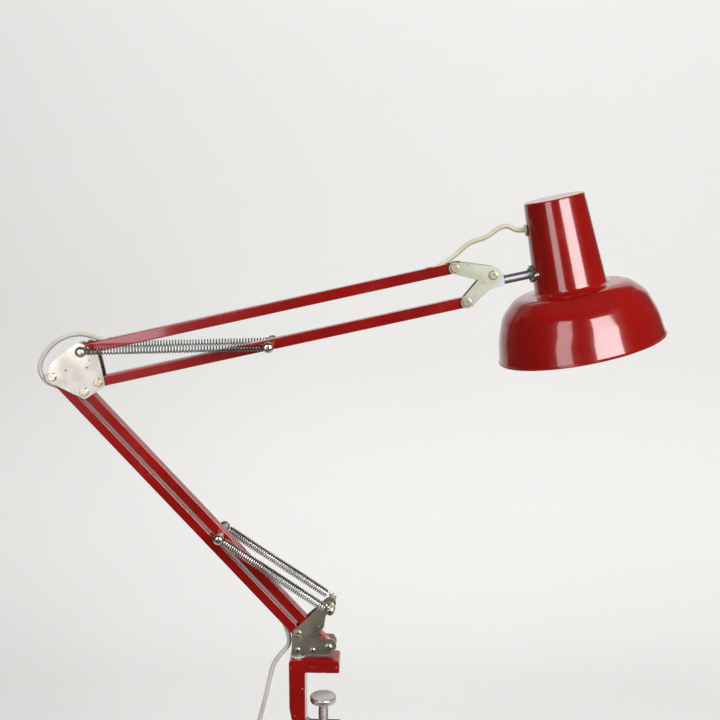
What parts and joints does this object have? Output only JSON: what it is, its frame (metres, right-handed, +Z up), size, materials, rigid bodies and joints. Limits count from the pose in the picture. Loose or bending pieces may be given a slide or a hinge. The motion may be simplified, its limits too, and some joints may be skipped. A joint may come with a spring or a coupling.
{
  "type": "architect desk lamp",
  "caption": "Clamp-on desk lamp: two sprung parallelogram arms of square tube, nickel plates and a deep bell shade on a tilting stem.",
  "frame": {"origin": "middle of the underside of the clamp's upper jaw, which rests on the desk, above the clamp screw", "axes": "+Z up; the arms move in the XZ plane and reach towards +X; +Y is away from a viewer in front of the lamp"},
  "size_m": [0.5941, 0.1578, 0.8236],
  "materials": {
    "clamp_red": "gloss red paint",
    "shade_red": "gloss red enamel outside, white inside",
    "tube_red": "gloss red paint",
    "nickel_plate": "worn polished nickel plating",
    "nickel_fastener": "nickel plating",
    "spring_steel": "bright drawn wire",
    "zinc": "grey die-cast zinc",
    "screw_steel": "zinc-plated steel",
    "strap_steel": "plated steel",
    "nylon": "pale grey plastic",
    "bakelite": "black moulded plastic",
    "bulb_brass": "bulb cap",
    "bulb_glass": "frosted glass",
    "plug_brass": "nickel-plated brass",
    "plug_plastic": "off-white moulded plastic",
    "rocker_plastic": "off-white moulded plastic",
    "tie_plastic": "dark wrapped tie",
    "head_cord_pvc": "ivory sheathed cord",
    "cord_pvc": "grey-white sheathed cord"
  },
  "bodies": {
    "clamp": {"clamp_body": "clamp_red", "post_washer": "nylon"},
    "pad": {"clamp_pad": "screw_steel"},
    "screw": {"clamp_screw": "screw_steel", "clamp_handle": "screw_steel"},
    "bracket": {"swivel_post": "zinc", "base_plate_near": "nickel_plate", "base_plate_far": "nickel_plate", "base_rivets": "nickel_fastener", "base_screws": "nickel_fastener", "base_nuts": "nickel_fastener", "base_spring_studs": "nickel_fastener", "mains_cord": "cord_pvc", "mains_cord_ends": "cord_pvc", "cord_ring": "cord_pvc", "cord_tie": "tie_plastic", "switch_body": "plug_plastic", "plug_body": "plug_plastic", "plug_pins": "plug_brass"},
    "rocker": {"switch_rocker": "rocker_plastic"},
    "lower_rear": {"lower_rear_bar": "tube_red", "mains_cord_root": "cord_pvc", "elbow_cord_lower": "cord_pvc"},
    "lower_front": {"lower_front_bar": "tube_red", "lower_spring_tail_pin": "nickel_fastener", "lower_spring_hooks": "spring_steel"},
    "lower_springs": {"lower_spring_coils": "spring_steel"},
    "lower_spring_tails": {"lower_spring_end_turns": "spring_steel"},
    "elbow": {"elbow_plate_near": "nickel_plate", "elbow_plate_far": "nickel_plate", "elbow_screws": "nickel_fastener", "elbow_nuts": "nickel_fastener", "elbow_spring_pin": "nickel_fastener", "elbow_spring_domes": "nickel_fastener"},
    "upper_top": {"upper_top_bar": "tube_red", "elbow_cord_upper": "cord_pvc", "head_cord_rear": "head_cord_pvc"},
    "upper_bottom": {"upper_bottom_bar": "tube_red", "upper_spring_tail_pin": "nickel_fastener", "upper_spring_hooks": "spring_steel"},
    "upper_springs": {"upper_spring_coils": "spring_steel"},
    "upper_spring_tails": {"upper_spring_end_turns": "spring_steel"},
    "head_bracket": {"head_plate_near": "nickel_plate", "head_plate_far": "nickel_plate", "head_screws": "nickel_fastener", "head_nuts": "nickel_fastener", "head_cord_middle": "head_cord_pvc"},
    "knuckle": {"knuckle": "zinc", "head_cord_front": "head_cord_pvc"},
    "head": {"stem_rod": "zinc", "stem_clip": "nickel_fastener", "saddle": "zinc", "saddle_screws": "nickel_fastener", "shade": "shade_red", "cord_grommet": "nylon", "lampholder_strap": "strap_steel", "lampholder_shell": "bakelite", "lampholder_ring": "bakelite", "bulb_cap": "bulb_brass", "bulb_glass": "bulb_glass"}
  },
  "joints": [
    {"name": "clamp_pad_lift", "type": "slide", "parent": "clamp", "child": "pad", "axis": [0, 0, 1], "range_m": [-0.018, 0.027]},
    {"name": "clamp_screw_turn", "type": "hinge", "parent": "pad", "child": "screw", "pos_m": [0, 0, -0.08], "axis": [0, 0, 1], "continuous": true},
    {"name": "base_swivel", "type": "hinge", "parent": "clamp", "child": "bracket", "pos_m": [-0.025, 0, 0.014], "axis": [0, 0, 1], "range_deg": [-90, 90]},
    {"name": "switch_rock", "type": "hinge", "parent": "bracket", "child": "rocker", "pos_m": [-0.066, -0.0066, -0.13], "axis": [1, 0, 0], "range_deg": [-14, 0]},
    {"name": "lower_lift", "type": "hinge", "parent": "bracket", "child": "lower_rear", "pos_m": [-0.0242, 0, 0.0379], "axis": [0, 1, 0], "range_deg": [-4, 50], "deforming": ["mains_cord_root"]},
    {"name": "lower_front_swing", "type": "hinge", "parent": "bracket", "child": "lower_front", "pos_m": [0.00609, 0, 0.02358], "axis": [0, 1, 0], "range_deg": [-4.5, 50.5]},
    {"name": "elbow_level", "type": "hinge", "parent": "lower_rear", "child": "elbow", "pos_m": [-0.25639, 0, 0.29577], "axis": [0, 1, 0], "range_deg": [-50.5, 4.5], "deforming": ["elbow_cord_lower"]},
    {"name": "lower_springs_swing", "type": "hinge", "parent": "bracket", "child": "lower_springs", "pos_m": [0.00849, 0, 0.06718], "axis": [0, 1, 0], "range_deg": [-5.66, 64.94]},
    {"name": "lower_springs_stretch", "type": "slide", "parent": "lower_springs", "child": "lower_spring_tails", "axis": [-0.8276, 0, 0.5613], "range_m": [-0.02166, 0.00219], "deforming": ["lower_spring_coils", "lower_spring_end_turns"]},
    {"name": "upper_lift", "type": "hinge", "parent": "elbow", "child": "upper_top", "pos_m": [-0.22409, 0, 0.32237], "axis": [0, 1, 0], "range_deg": [-42, 38], "deforming": ["elbow_cord_upper"]},
    {"name": "upper_bottom_swing", "type": "hinge", "parent": "elbow", "child": "upper_bottom", "pos_m": [-0.21247, 0, 0.29063], "axis": [0, 1, 0], "range_deg": [-42.5, 38.5]},
    {"name": "head_level", "type": "hinge", "parent": "upper_top", "child": "head_bracket", "pos_m": [0.12515, 0, 0.40108], "axis": [0, 1, 0], "range_deg": [-38.5, 42.5], "deforming": ["head_cord_rear"]},
    {"name": "upper_springs_swing", "type": "hinge", "parent": "elbow", "child": "upper_springs", "pos_m": [-0.22409, 0, 0.32237], "axis": [0, 1, 0], "range_deg": [-40.6, 36.78]},
    {"name": "upper_springs_stretch", "type": "slide", "parent": "upper_springs", "child": "upper_spring_tails", "axis": [0.9995, 0, 0.0303], "range_m": [-0.02336, 0.02119], "deforming": ["upper_spring_coils", "upper_spring_end_turns"]},
    {"name": "head_tilt", "type": "hinge", "parent": "head_bracket", "child": "knuckle", "pos_m": [0.16055, 0, 0.39478], "axis": [0, 1, 0], "range_deg": [-30, 35], "deforming": ["head_cord_middle"]},
    {"name": "head_turn", "type": "hinge", "parent": "knuckle", "child": "head", "pos_m": [0.16206, 0, 0.38794], "axis": [0.9767, 0, 0.2147], "range_deg": [-45, 45], "deforming": ["head_cord_front"]}
  ],
  "couplings": [
    {"joint": "clamp_screw_turn", "follows": "clamp_pad_lift", "rad_per_m": 3141.6},
    {"joint": "lower_front_swing", "follows": "lower_lift", "ratio": 1},
    {"joint": "elbow_level", "follows": "lower_lift", "ratio": -1},
    {"joint": "lower_springs_swing", "follows": "lower_lift", "ratio": 1.2887},
    {"joint": "lower_springs_stretch", "follows": "lower_lift", "m_per_rad": -0.024249},
    {"joint": "upper_bottom_swing", "follows": "upper_lift", "ratio": 1},
    {"joint": "head_level", "follows": "upper_lift", "ratio": -1},
    {"joint": "upper_springs_swing", "follows": "upper_lift", "ratio": 0.95476},
    {"joint": "upper_springs_stretch", "follows": "upper_lift", "m_per_rad": 0.031189}
  ]
}
